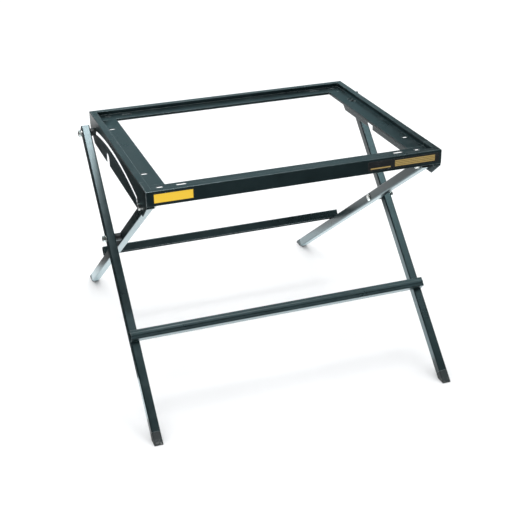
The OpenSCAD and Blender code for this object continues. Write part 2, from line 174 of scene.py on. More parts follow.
class StandSizes(bpy.types.PropertyGroup):
    """Sizes of the modelled detail"""
    sheet: bpy.props.FloatProperty(
        name="Sheet", description="Thickness of the pressed steel sheet",
        default=0.0016, unit="LENGTH")
    lip_width: bpy.props.FloatProperty(
        name="Lip width", description="Width of the raised outer lip",
        default=0.015, unit="LENGTH")
    rail_width: bpy.props.FloatProperty(
        name="Rail width", description="Width of a rail from its outer face to the shelf's inner edge",
        default=0.053, unit="LENGTH")
    shelf_drop: bpy.props.FloatProperty(
        name="Shelf drop", description="Drop from the lip down to the shelf",
        default=0.009, unit="LENGTH")
    top_bend: bpy.props.FloatProperty(
        name="Top bend", description="Radius of the rails' outer top bend",
        default=0.0026, unit="LENGTH")
    shelf_bend: bpy.props.FloatProperty(
        name="Shelf bend", description="Radius of the bends beside the shelf",
        default=0.0010, unit="LENGTH")
    cut_edge: bpy.props.FloatProperty(
        name="Cut edge", description="Softening of cut sheet edges",
        default=0.00025, unit="LENGTH")
    tube_width: bpy.props.FloatProperty(
        name="Tube width", description="Width of the leg tubes across the stand",
        default=span("right_outer_leg", X)[1] - span("right_outer_leg", X)[0], unit="LENGTH")
    tube_depth: bpy.props.FloatProperty(
        name="Tube depth", description="Depth of the leg tubes",
        default=0.022, unit="LENGTH")
    tube_wall: bpy.props.FloatProperty(
        name="Tube wall", description="Wall thickness of the leg tubes",
        default=0.0015, unit="LENGTH")
    tube_corner: bpy.props.FloatProperty(
        name="Tube corner", description="Outer corner radius of the leg tubes",
        default=0.0030, unit="LENGTH")
    leg_over: bpy.props.FloatProperty(
        name="Leg beyond bolt", description="Length of leg beyond its top bolt",
        default=0.014, unit="LENGTH")
    foot_plug: bpy.props.FloatProperty(
        name="Foot plug", description="Length of a foot's plug inside its tube",
        default=0.022, unit="LENGTH")
    foot_toe: bpy.props.FloatProperty(
        name="Foot toe", description="Reach of a foot's toe beyond the middle of its leg",
        default=0.0115, unit="LENGTH")
    bolt: bpy.props.FloatProperty(
        name="Bolt", description="Shank diameter of the pivot bolts",
        default=0.008, unit="LENGTH")
    thread_pitch: bpy.props.FloatProperty(
        name="Thread pitch", description="Distance between the threads",
        default=0.00125, unit="LENGTH")
    hex_flats: bpy.props.FloatProperty(
        name="Hex flats", description="Width across flats of the hex heads and nuts",
        default=0.013, unit="LENGTH")
    bar_width: bpy.props.FloatProperty(
        name="Crossbar width", description="Width of the crossbar channels",
        default=0.022, unit="LENGTH")
    bar_depth: bpy.props.FloatProperty(
        name="Crossbar depth", description="Depth of the crossbar channels",
        default=0.020, unit="LENGTH")
    rear_bar_along: bpy.props.FloatProperty(
        name="Rear crossbar place", description="Distance of the rear crossbar down the inner legs",
        default=0.575, unit="LENGTH")
    front_bar_along: bpy.props.FloatProperty(
        name="Front crossbar place", description="Distance of the front crossbar down the outer legs",
        default=0.504, unit="LENGTH")
    bead_height: bpy.props.FloatProperty(
        name="Bead height", description="Height of the pressed bead along a crossbar",
        default=0.001, unit="LENGTH")
    bead_width: bpy.props.FloatProperty(
        name="Bead width", description="Width of the bead's flat top",
        default=0.006, unit="LENGTH")
    sticker_corner: bpy.props.FloatProperty(
        name="Sticker corner", description="Corner radius of the stickers",
        default=0.0020, unit="LENGTH")


def colour(name, description, default):
    """A colour a user may change."""
    return bpy.props.FloatVectorProperty(
        name=name, description=description, default=default, subtype="COLOR", size=3,
        min=0.0, max=1.0)


class StandColours(bpy.types.PropertyGroup):
    """Colours of the finishes"""
    paint: colour("Paint", "Satin charcoal paint of the steel", (0.0022, 0.0078, 0.0090))
    paint_light: colour("Paint, light", "Thinner and dustier paint", (0.0060, 0.0150, 0.0170))
    dust: colour("Dust", "Dust and scuffs", (0.060, 0.080, 0.083))
    # Lightens the paint's edges: partly rubbed paint, partly a painted highlight along the edges
    wear_and_highlight: colour("Worn edge", "Paint rubbed thin along edges", (0.240, 0.275, 0.280))
    zinc: colour("Zinc", "Bright zinc plate of the fasteners", (0.72, 0.72, 0.69))
    zinc_dull: colour("Zinc, dull", "Dulled patches in the zinc", (0.46, 0.46, 0.43))
    rubber: colour("Rubber", "Dark grey rubber of the feet", (0.014, 0.022, 0.023))
    nylon: colour("Nylon", "Black nylon of the spacers", (0.012, 0.014, 0.015))
    yellow: colour("Yellow sticker", "Ground of the small sticker", (0.83, 0.53, 0.03))
    ink: colour("Sticker ink", "Dark ink of both stickers", (0.008, 0.010, 0.011))
    gold: colour("Sticker gold", "Rules on the large sticker", (0.36, 0.25, 0.075))
    floor: colour("Floor", "Pale studio floor", (0.90, 0.905, 0.91))


def sizes():
    return bpy.context.scene.stand_sizes


def colours():
    return bpy.context.scene.stand_colours


# ---- shader building ----

class Value:
    """One number or link in a node tree, with arithmetic that adds Math nodes."""

    def __init__(self, tree, socket):
        self.tree, self.socket = tree, socket

    def math(self, operation, *others):
        node = self.tree.nodes.new("ShaderNodeMath")
        node.operation = operation
        for slot, item in zip(node.inputs, (self, *others)):
            if isinstance(item, Value):
                self.tree.links.new(item.socket, slot)
            else:
                slot.default_value = item
        return Value(self.tree, node.outputs[0])

    def __add__(self, other):
        return self.math("ADD", other)

    def __radd__(self, other):
        return self.math("ADD", other)

    def __sub__(self, other):
        return self.math("SUBTRACT", other)

    def __rsub__(self, other):
        node = self.tree.nodes.new("ShaderNodeMath")
        node.operation = "SUBTRACT"
        node.inputs[0].default_value = other
        self.tree.links.new(self.socket, node.inputs[1])
        return Value(self.tree, node.outputs[0])

    def __mul__(self, other):
        return self.math("MULTIPLY", other)

    def __abs__(self):
        return self.math("ABSOLUTE")

    def over(self, low, high):
        """0 below low, 1 above high and a smooth rise between them."""
        node = self.tree.nodes.new("ShaderNodeMapRange")
        node.interpolation_type = "SMOOTHSTEP"
        self.tree.links.new(self.socket, node.inputs["Value"])
        node.inputs["From Min"].default_value = low
        node.inputs["From Max"].default_value = high
        return Value(self.tree, node.outputs["Result"])


class Finish:
    """A material whose shader is built step by step."""

    def __init__(self, name):
        self.material = bpy.data.materials.new(name)
        self.material.use_nodes = True
        self.tree = self.material.node_tree
        self.shader = next(n for n in self.tree.nodes if n.type == "BSDF_PRINCIPLED")
        coords = self.tree.nodes.new("ShaderNodeTexCoord")
        self.place = Value(self.tree, coords.outputs["Object"])
        self.facing = Value(self.tree, coords.outputs["Normal"])

    def node(self, kind, settings=None, **sockets):
        """Adds a node: its settings first, then the values or links of its sockets."""
        node = self.tree.nodes.new(kind)
        for key, value in (settings or {}).items():
            setattr(node, key, value)
        for key, value in sockets.items():
            slot = node.inputs[key.replace("_", " ")]
            if isinstance(value, Value):
                self.tree.links.new(value.socket, slot)
            else:
                slot.default_value = value
        return node

    def out(self, node, key=0):
        """One of a node's outputs, by number or name."""
        return Value(self.tree, node.outputs[key])

    def stretched(self, scale):
        """Object coordinates scaled along each axis, in patterns per metre."""
        return self.out(self.node("ShaderNodeMapping", Vector=self.place, Scale=scale))

    def noise(self, scale, detail=2.0, rough=0.5, vector=None):
        """Soft noise, with scale in patterns per metre."""
        return self.out(self.node("ShaderNodeTexNoise", Vector=vector or self.place, Scale=scale,
                                  Detail=detail, Roughness=rough))

    def cells(self, scale):
        """Distance from the middle of small cells, with scale in cells per metre."""
        return self.out(self.node("ShaderNodeTexVoronoi", Vector=self.place, Scale=scale), "Distance")

    def axis(self, vector, letter):
        return self.out(self.node("ShaderNodeSeparateXYZ", Vector=vector), letter)

    def blend(self, factor, first, second):
        """A colour between two colours; each is a link or a plain colour."""
        node = self.node("ShaderNodeMix", {"data_type": "RGBA"})
        factor_slot, first_slot, second_slot = (node.inputs[i] for i in (0, 6, 7))
        for slot, value in ((factor_slot, factor), (first_slot, first), (second_slot, second)):
            if isinstance(value, Value):
                self.tree.links.new(value.socket, slot)
            elif isinstance(value, (int, float)):
                slot.default_value = value
            else:
                slot.default_value = (*value[:3], 1.0)
        return Value(self.tree, node.outputs[2])

    def edges(self, radius):
        """About 0 on flat faces and rising towards 1 within radius of an edge."""
        rounded = self.out(self.node("ShaderNodeBevel", {"samples": 6}, Radius=radius))
        true = self.out(self.node("ShaderNodeNewGeometry"), "Normal")
        dot = self.node("ShaderNodeVectorMath", {"operation": "DOT_PRODUCT"})
        self.tree.links.new(rounded.socket, dot.inputs[0])
        self.tree.links.new(true.socket, dot.inputs[1])
        return (1.0 - self.out(dot, "Value")).over(0.01, 0.16)

    def bump(self, height, strength, distance):
        """Gives the surface a fine relief, with distance in metres."""
        node = self.node("ShaderNodeBump", Strength=strength, Distance=distance, Height=height)
        self.tree.links.new(node.outputs["Normal"], self.shader.inputs["Normal"])

    def set(self, **sockets):
        """Sets the shader's own sockets to plain values or links."""
        for key, value in sockets.items():
            slot = self.shader.inputs[key.replace("_", " ")]
            if isinstance(value, Value):
                self.tree.links.new(value.socket, slot)
            elif hasattr(value, "__len__"):
                slot.default_value = (*value[:3], 1.0)
            else:
                slot.default_value = value


def painted_steel():
    """Satin charcoal paint with a faint orange peel, dust, fine scuffs, and edges lightened both as rubbed paint
    and as a painted highlight.
    """
    f, c = Finish("painted_steel"), colours()
    broad = f.noise(9.0, detail=3.0)
    grain = f.noise(420.0, detail=2.0)
    scuff = f.noise(60.0, detail=5.0, rough=0.65, vector=f.stretched((1.0, 0.22, 0.6)))
    scuffs = scuff.over(0.60, 0.74)
    up = f.axis(f.facing, "Z").over(0.35, 0.95)
    dust = up * f.noise(38.0, detail=6.0, rough=0.7).over(0.42, 0.72)
    # Painted highlight and wear along every edge: the steady part of this mask stands in for the light that edges
    # catch, and the noisy part for rubbed paint
    rub_and_highlight = f.edges(0.0020) * (0.35 + f.noise(95.0, detail=4.0, rough=0.6).over(0.40, 0.66) * 0.65)
    base = f.blend(broad.over(0.34, 0.68), c.paint, c.paint_light)
    base = f.blend(dust * 0.16, base, c.dust)
    base = f.blend(scuffs * 0.10, base, c.dust)
    f.set(Base_Color=f.blend(rub_and_highlight * 0.85, base, c.wear_and_highlight),
          Roughness=0.25 + broad * 0.06 + scuffs * 0.04 + dust * 0.10 + rub_and_highlight * 0.08,
          Specular_IOR_Level=0.5, Specular_Tint=(0.80, 0.97, 1.0))
    f.bump(grain * 0.6 + f.noise(150.0, detail=1.0) * 0.4, 0.10, 0.0004)
    return f.material


def zinc_steel():
    """Bright zinc plate with dull patches, turning marks and a rubbed edge."""
    f, c = Finish("zinc_steel"), colours()
    patches = f.noise(260.0, detail=4.0, rough=0.6).over(0.42, 0.70)
    fine = f.noise(2400.0, detail=2.0, vector=f.stretched((1.0, 0.35, 0.35)))
    rub_and_highlight = f.edges(0.0005)
    base = f.blend(patches * 0.7, c.zinc, c.zinc_dull)
    f.set(Base_Color=f.blend(rub_and_highlight * 0.5, base, c.zinc), Metallic=1.0,
          Roughness=0.24 + patches * 0.16 + fine * 0.08 - rub_and_highlight * 0.06)
    f.bump(fine, 0.10, 0.0002)
    return f.material


def foot_rubber():
    """Moulded rubber with a fine grain and paler scuffing towards the floor."""
    f, c = Finish("foot_rubber"), colours()
    grain = f.cells(900.0)
    low = 1.0 - f.axis(f.place, "Z").over(0.0005, 0.014)
    scuff = f.noise(170.0, detail=5.0, rough=0.7).over(0.46, 0.70)
    wear_and_highlight = low * scuff
    base = f.blend(f.noise(60.0, detail=3.0).over(0.35, 0.7) * 0.35, c.rubber, c.nylon)
    f.set(Base_Color=f.blend(wear_and_highlight * 0.55 + f.edges(0.001) * 0.18, base, c.zinc_dull),
          Roughness=0.50 + grain * 0.12 + wear_and_highlight * 0.2, Specular_IOR_Level=0.45)
    f.bump(grain, 0.25, 0.0003)
    return f.material


def dark_plastic():
    """Black nylon with a faint mould grain and a polished rubbed band."""
    f, c = Finish("dark_plastic"), colours()
    grain = f.noise(900.0, detail=3.0)
    rub_and_highlight = f.noise(140.0, detail=3.0).over(0.45, 0.7)
    f.set(Base_Color=f.blend(rub_and_highlight * 0.4 + f.edges(0.0008) * 0.2, c.nylon, c.dust),
          Roughness=0.46 - rub_and_highlight * 0.12 + grain * 0.06)
    f.bump(grain, 0.15, 0.0002)
    return f.material


def sticker_finish(name, ground, marks, bounds):
    """Printed gloss film: a ground, gold rules inside a keyline, and a lightly scuffed surface."""
    f, c = Finish(name), colours()
    x, z = f.axis(f.place, "X"), f.axis(f.place, "Z")
    (x_low, x_high), (z_low, z_high) = bounds
    half_x, half_z = (x_high - x_low) / 2, (z_high - z_low) / 2
    across = abs(x - (x_low + half_x))
    upright = abs(z - (z_low + half_z))
    inner_x, inner_z = half_x - KEYLINE, half_z - KEYLINE
    outside = across.over(inner_x - PRINT_EDGE, inner_x)
    outside = outside.math("MAXIMUM", upright.over(inner_z - PRINT_EDGE, inner_z))
    base = f.blend(outside, ground, c.ink)
    for mark_low, mark_high, z_mid in marks:
        started = x.over(mark_low, mark_low + PRINT_EDGE)
        ended = x.over(mark_high, mark_high + PRINT_EDGE)
        row = 1.0 - abs(z - z_mid).over(RULE_HALF, RULE_HALF + PRINT_EDGE)
        base = f.blend(started * (1.0 - ended) * row, base, c.gold)
    wear = f.noise(120.0, detail=5.0, rough=0.7).over(0.55, 0.75)
    f.set(Base_Color=f.blend(wear * 0.08 + f.edges(0.0004) * 0.2, base, c.zinc_dull),
          Roughness=0.30 + wear * 0.20, Coat_Weight=0.35, Coat_Roughness=0.12)
    f.bump(f.noise(260.0, detail=2.0), 0.04, 0.0003)
    return f.material


FINISHES = {}


def finish(slot):
    """The finish for a material slot of the record, made once."""
    makers = {"painted_steel": painted_steel, "zinc_steel": zinc_steel,
              "foot_rubber": foot_rubber, "dark_plastic": dark_plastic}
    if slot not in FINISHES:
        FINISHES[slot] = makers[slot]()
    return FINISHES[slot]


# ---- modelling helpers ----

def only(piece):
    """Makes the piece the only selected and the active object."""
    if bpy.context.mode != "OBJECT":
        bpy.ops.object.mode_set(mode="OBJECT")
    bpy.ops.object.select_all(action="DESELECT")
    bpy.context.view_layer.objects.active = piece
    piece.select_set(True)


def start(name, add, **settings):
    """Adds a primitive with nothing else selected and names it."""
    if bpy.context.mode != "OBJECT":
        bpy.ops.object.mode_set(mode="OBJECT")
    bpy.ops.object.select_all(action="DESELECT")
    add(**settings)
    piece = bpy.context.active_object
    piece.name = piece.data.name = name
    bpy.ops.object.transform_apply(location=True, rotation=True, scale=True)
    return piece


def edit(piece):
    """Opens the piece for editing."""
    only(piece)
    bpy.ops.object.mode_set(mode="EDIT")


def done():
    """Ends editing."""
    bpy.ops.object.mode_set(mode="OBJECT")


def pick(piece, kind, test):
    """In edit mode, selects only the verts, edges or faces that pass the test. Some have to."""
    bpy.ops.mesh.select_mode(type={"verts": "VERT", "edges": "EDGE", "faces": "FACE"}[kind])
    bpy.ops.mesh.select_all(action="DESELECT")
    shape = bmesh.from_edit_mesh(piece.data)
    chosen = [part for part in getattr(shape, kind) if test(part)]
    if not chosen:
        raise RuntimeError(f"{piece.name} has none of the {kind} to be shaped")
    for part in chosen:
        part.select_set(True)
    bmesh.update_edit_mesh(piece.data)


def near(a, b):
    return abs(a - b) < SAME_PLACE


def edge_along(edge, axis):
    """True if an edge runs along one axis only."""
    run = edge.verts[1].co - edge.verts[0].co
    return run.length > 1e-6 and abs(run[axis]) > 0.999 * run.length


def at(edge, axis, place):
    """True if both ends of an edge are at a place along an axis."""
    return all(near(v.co[axis], place) for v in edge.verts)


def soften(piece, width, segments=2, angle=40.0):
    """Rounds every edge sharper than the angle with an applied bevel."""
    only(piece)
    bevel = piece.modifiers.new("soften", "BEVEL")
    bevel.width, bevel.segments = width, segments
    bevel.limit_method, bevel.angle_limit = "ANGLE", math.radians(angle)
    bpy.ops.object.modifier_apply(modifier=bevel.name)


def smooth(piece, angle=32.0):
    """Clears faces without area, then shades smooth, with sharp edges and flat faces kept."""
    edit(piece)
    bpy.ops.mesh.select_all(action="SELECT")
    bpy.ops.mesh.remove_doubles(threshold=JOINED_AT_END)
    bpy.ops.mesh.dissolve_degenerate(threshold=NO_LENGTH)
    done()
    bpy.ops.object.shade_smooth_by_angle(angle=math.radians(angle))
    weighted = piece.modifiers.new("flat_faces", "WEIGHTED_NORMAL")
    weighted.keep_sharp = True
    bpy.ops.object.modifier_apply(modifier=weighted.name)


def tidy_normals(piece):
    """Merges vertices in one place and turns every face outwards."""
    edit(piece)
    bpy.ops.mesh.select_all(action="SELECT")
    bpy.ops.mesh.remove_doubles(threshold=JOINED)
    bpy.ops.mesh.normals_make_consistent(inside=False)
    done()


def cut_by(piece, plane_co, plane_no):
    """Cuts the piece by a plane, drops what lies beyond it and closes the cut."""
    edit(piece)
    bpy.ops.mesh.select_all(action="SELECT")
    bpy.ops.mesh.bisect(plane_co=plane_co, plane_no=plane_no, use_fill=True, clear_outer=True)
    done()


def combine(piece, other, operation):
    """Joins, cuts or intersects with another piece, which is then removed."""
    only(piece)
    boolean = piece.modifiers.new("combine", "BOOLEAN")
    boolean.operation, boolean.object, boolean.solver = operation, other, "EXACT"
    bpy.ops.object.modifier_apply(modifier=boolean.name)
    bpy.data.objects.remove(other)


def placed(piece, matrix):
    """Puts the piece in place and leaves its object at the origin."""
    only(piece)
    piece.matrix_world = matrix
    bpy.context.view_layer.update()
    bpy.ops.object.transform_apply(location=True, rotation=True, scale=True)
    return piece


def copied(piece, name):
    """A copy with its own mesh."""
    twin = piece.copy()
    twin.data = piece.data.copy()
    twin.name = twin.data.name = name
    bpy.context.scene.collection.objects.link(twin)
    return twin


def finished(piece, body, slot, node, material=None):
    """Gives the piece its finish, ties it to its body and hides the frame node it stands for."""
    piece.data.materials.clear()
    piece.data.materials.append(material or finish(slot))
    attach(piece, body)
    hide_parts(node)
    return piece


def outline_piece(name, points):
    """A chain of edges through (x, r) points, r along +Z, ready to spin about X."""
    piece = start(name, bpy.ops.mesh.primitive_plane_add, size=0.002)
    edit(piece)
    bpy.ops.mesh.select_mode(type="VERT")
    bpy.ops.mesh.select_all(action="SELECT")
    bpy.ops.mesh.merge(type="CENTER")
    bpy.ops.mesh.select_all(action="SELECT")
    here = Vector((points[0][0], 0, points[0][1]))
    bpy.ops.transform.translate(value=here)
    for x, r in points[1:]:
        there = Vector((x, 0, r))
        bpy.ops.mesh.extrude_vertices_move(TRANSFORM_OT_translate={"value": there - here})
        here = there
    return piece


def turned(name, points, segments=40):
    """A round piece about the X axis, spun from (x, r) points that close on themselves or on the axis."""
    piece = outline_piece(name, points)
    bpy.ops.mesh.select_all(action="SELECT")
    bpy.ops.mesh.spin(steps=segments, angle=2 * math.pi, center=(0, 0, 0), axis=(1, 0, 0))
    done()
    tidy_normals(piece)
    return piece


def hexagon(name, x_from, x_to, flats, chamfer_from=True):
    """A hexagonal head or nut, its corners cut back by a cone at each chamfered face."""
    corner = flats / math.sqrt(3)
    piece = start(name, bpy.ops.mesh.primitive_cylinder_add, vertices=6, radius=corner,
                  depth=x_to - x_from, location=((x_from + x_to) / 2, 0, 0),
                  rotation=(0, math.pi / 2, 0))
    over, face = corner * CONE_OVER, flats / 2 * CONE_FACE
    slope = (over - face) * CONE_DEPTH
    start_points = [(x_from, face), (x_from + slope, over)] if chamfer_from else [(x_from, over)]
    points = [(x_from, 0.0), *start_points, (x_to - slope, over), (x_to, face), (x_to, 0.0)]
    combine(piece, turned(name + "_cone", points, segments=48), "INTERSECT")
    return piece


def thread_points(x_from, x_to, radius):
    """Outline points of a threaded end that stops at x_to with a chamfer."""
    pitch = sizes().thread_pitch
    root, plain = radius - pitch * THREAD_DEPTH, x_to - TIP_CHAMFER
    points, x = [], x_from
    while x + pitch < plain:
        points += [(x, root), (x + pitch * CREST_FROM, radius), (x + pitch * CREST_TO, radius)]
        x += pitch
    return points + [(x, root), (plain, radius * LAST_CREST), (x_to, radius - TIP_CHAMFER), (x_to, 0.0)]


def leg_bar(name, y_from, y_to, width, depth, corner):
    """A bar that runs down a leg, with its long edges rounded."""
    bar = start(name, bpy.ops.mesh.primitive_cube_add, size=1.0,
                location=(0, (y_from + y_to) / 2, 0), scale=(width, y_to - y_from, depth))
    edit(bar)
    pick(bar, "edges", lambda e: edge_along(e, Y))
    bpy.ops.mesh.bevel(offset=corner, segments=6, affect="EDGES")
    done()
    return bar


def on_both_legs(master, kind, part, ending, slot):
    """Puts copies of a piece made along a leg on the left and right legs, and removes it."""
    for side in ("left", "right"):
        node = f"{side}_{kind}_{part}"
        piece = copied(master, node + ending)
        placed(piece, Matrix.Translation((middle(node).x, 0, 0)) @ LEG_PAIRS[kind][2])
        finished(piece, kind + "_legs", slot, node)
    bpy.data.objects.remove(master)


def both_sides(piece, node, body, slot, centre):
    """Puts a fastener modelled along +X at a pivot on the right and, turned round, on the left."""
    name = node[:-1]
    left = copied(piece, name + "_left")
    piece.name = piece.data.name = name + "_right"
    height = Matrix.Translation((0, centre.y, centre.z))
    placed(piece, height)
    placed(left, height @ Matrix.Rotation(math.pi, 4, "Z"))
    for side in (piece, left):
        smooth(side)
        finished(side, body, slot, node)


# ---- pieces ----

def inset_x(place):
    """Distance in from the outer face of the nearer side rail."""
    return HALF_W - abs(place.x)


def inset_y(place):
    """Distance in from the outer face of the nearer front or rear rail."""
    return min(place.y - FRONT_Y, REAR_Y - place.y)


class STAND_OT_rails(bpy.types.Operator):
    """Models the four pressed steel rails with their rounded bends"""
    bl_idname = "stand.rails"
    bl_label = "Rails"

    def beside_shelf(self, edge):
        """True for the inner edges of the lip's top and of the shelf's top."""
        s = sizes()
        for run, inset in ((X, inset_y), (Y, inset_x)):
            if edge_along(edge, run):
                places = [inset(v.co) for v in edge.verts]
                lip = at(edge, Z, TOP_Z) and all(near(p, s.lip_width) for p in places)
                rim = (at(edge, Z, TOP_Z - s.shelf_drop)
                       and all(near(p, s.rail_width) for p in places))
                return lip or rim
        return False

    def execute(self, context):
        s = sizes()
        for node, (run, across, outer) in RAILS.items():
            rail = copied(frame["nodes"][node], node + "_sheet")
            rail.parent = None
            edit(rail)
            bpy.ops.mesh.select_all(action="SELECT")
            bpy.ops.mesh.remove_doubles(threshold=JOINED)
            bpy.ops.mesh.dissolve_limited(angle_limit=math.radians(0.5))
            pick(rail, "edges", lambda e: edge_along(e, run) and at(e, Z, TOP_Z)
                 and at(e, across, outer))
            bpy.ops.mesh.bevel(offset=s.top_bend, segments=5, affect="EDGES", clamp_overlap=True)
            pick(rail, "edges", self.beside_shelf)
            bpy.ops.mesh.bevel(offset=s.shelf_bend, segments=3, affect="EDGES", clamp_overlap=True)
            done()
            soften(rail, s.cut_edge, segments=1, angle=35.0)
            smooth(rail, 40.0)
            finished(rail, "top_frame", "painted_steel", node)
        return {"FINISHED"}


class STAND_OT_legs(bpy.types.Operator):
    """Models the four leg tubes with rounded corners, walls and open ends"""
    bl_idname = "stand.legs"
    bl_label = "Legs"

    def tube(self, name, length):
        s = sizes()
        tube = leg_bar(name, -s.leg_over, length - s.tube_depth, s.tube_width, s.tube_depth,
                       s.tube_corner)
        # The tube's ends are open
        edit(tube)
        pick(tube, "faces", lambda f: abs(f.normal.y) > 0.9)
        bpy.ops.mesh.delete(type="FACE")
        done()
        wall = tube.modifiers.new("wall", "SOLIDIFY")
        wall.thickness, wall.offset, wall.use_even_offset = s.tube_wall, -1.0, True
        bpy.ops.object.modifier_apply(modifier=wall.name)
        soften(tube, s.cut_edge, segments=2, angle=60.0)
        smooth(tube)
        return tube

    def execute(self, context):
        for kind, (length, _, _) in LEG_PAIRS.items():
            on_both_legs(self.tube(kind + "_tube", length), kind, "leg", "_tube", "painted_steel")
        return {"FINISHED"}


class STAND_OT_feet(bpy.types.Operator):
    """Models the rubber feet: a head cut level with the floor, and a plug inside the tube"""
    bl_idname = "stand.feet"
    bl_label = "Feet"

    def foot(self, name, length, angle):
        s = sizes()
        head = length - s.tube_depth
        beyond_floor = head + 3 * s.tube_depth
        foot = leg_bar(name, head, beyond_floor, s.tube_width, s.tube_depth, s.tube_corner)
        turn = Matrix.Rotation(angle, 3, "X")
        sole = Vector((0, length, 0))
        cut_by(foot, sole, turn @ Vector((0, 0, -1)))
        cut_by(foot, sole + turn @ Vector((0, s.foot_toe, 0)), turn @ Vector((0, 1, 0)))
        soften(foot, FOOT_ROUND, segments=3, angle=40.0)
        bore_width, bore_depth = s.tube_width - 2 * s.tube_wall, s.tube_depth - 2 * s.tube_wall
        plug = leg_bar(name + "_plug", head - s.foot_plug, head + PLUG_BITE, bore_width, bore_depth,
                       s.tube_corner - s.tube_wall)
        soften(plug, FOOT_ROUND, segments=2, angle=60.0)
        combine(foot, plug, "UNION")
        tidy_normals(foot)
        smooth(foot, 38.0)
        return foot

    def execute(self, context):
        for kind, (length, angle, _) in LEG_PAIRS.items():
            on_both_legs(self.foot(kind + "_cap", length, angle), kind, "foot", "_cap", "foot_rubber")
        return {"FINISHED"}


class STAND_OT_crossbars(bpy.types.Operator):
    """Models the two channel crossbars, folded from one strip with a pressed bead"""
    bl_idname = "stand.crossbars"
    bl_label = "Crossbars"

    def channel(self, name, half_length, along):
        s = sizes()
        low = s.tube_depth / 2 + WELD_GAP
        high = low + s.bar_depth
        flat, foot = s.bead_width / 2, s.bead_width / 2 + s.bead_height
        mid = along + s.bar_width / 2
        path = [(along, low), (along, high), (mid - foot, high), (mid - flat, high + s.bead_height),
                (mid + flat, high + s.bead_height), (mid + foot, high), (along + s.bar_width, high),
                (along + s.bar_width, low)]
        strip = start(name, bpy.ops.mesh.primitive_plane_add, size=1.0, rotation=(math.pi / 2, 0, 0))
        edit(strip)
        bpy.ops.mesh.select_all(action="SELECT")
        bpy.ops.transform.resize(value=(2 * half_length, 1.0, high - low))
        bpy.ops.transform.translate(value=(0, along, (low + high) / 2))
        pick(strip, "edges", lambda e: at(e, Z, high) and edge_along(e, X))
        for (y0, z0), (y1, z1) in zip(path[1:], path[2:]):
            bpy.ops.mesh.extrude_region_move(TRANSFORM_OT_translate={"value": (0, y1 - y0, z1 - z0)})

        def fold(edge):
            return edge_along(edge, X) and len(edge.link_faces) == 2

        def beside_bead(edge):
            return any(abs(v.co.y - mid) < foot + BEAD_REACH for v in edge.verts)

        pick(strip, "edges", lambda e: fold(e) and at(e, Z, high) and not beside_bead(e))
        bpy.ops.mesh.bevel(offset=BAR_BEND, segments=5, affect="EDGES")
        pick(strip, "edges", lambda e: fold(e) and beside_bead(e))
        bpy.ops.mesh.bevel(offset=BEAD_BEND, segments=2, affect="EDGES")
        bpy.ops.mesh.select_all(action="SELECT")
        bpy.ops.mesh.normals_make_consistent(inside=False)
        done()
        # The sheet thickens towards the inside of the channel
        inward = sum(p.normal.z * p.area for p in strip.data.polygons) > 0
        wall = strip.modifiers.new("wall", "SOLIDIFY")
        wall.thickness, wall.offset = s.sheet, -1.0 if inward else 1.0
        wall.use_even_offset = True
        bpy.ops.object.modifier_apply(modifier=wall.name)
        tidy_normals(strip)
        soften(strip, s.cut_edge, segments=1, angle=50.0)
        smooth(strip)
        return strip

    def execute(self, context):
        s = sizes()
        for node, along, matrix, body in (
                ("rear_crossbar", s.rear_bar_along, ON_INNER_LEG, "inner_legs"),
                ("front_crossbar", s.front_bar_along, ON_OUTER_LEG, "outer_legs")):
            bar = self.channel(node + "_channel", span(node, X)[1], along)
            placed(bar, matrix)
            finished(bar, body, "painted_steel", node)
        return {"FINISHED"}


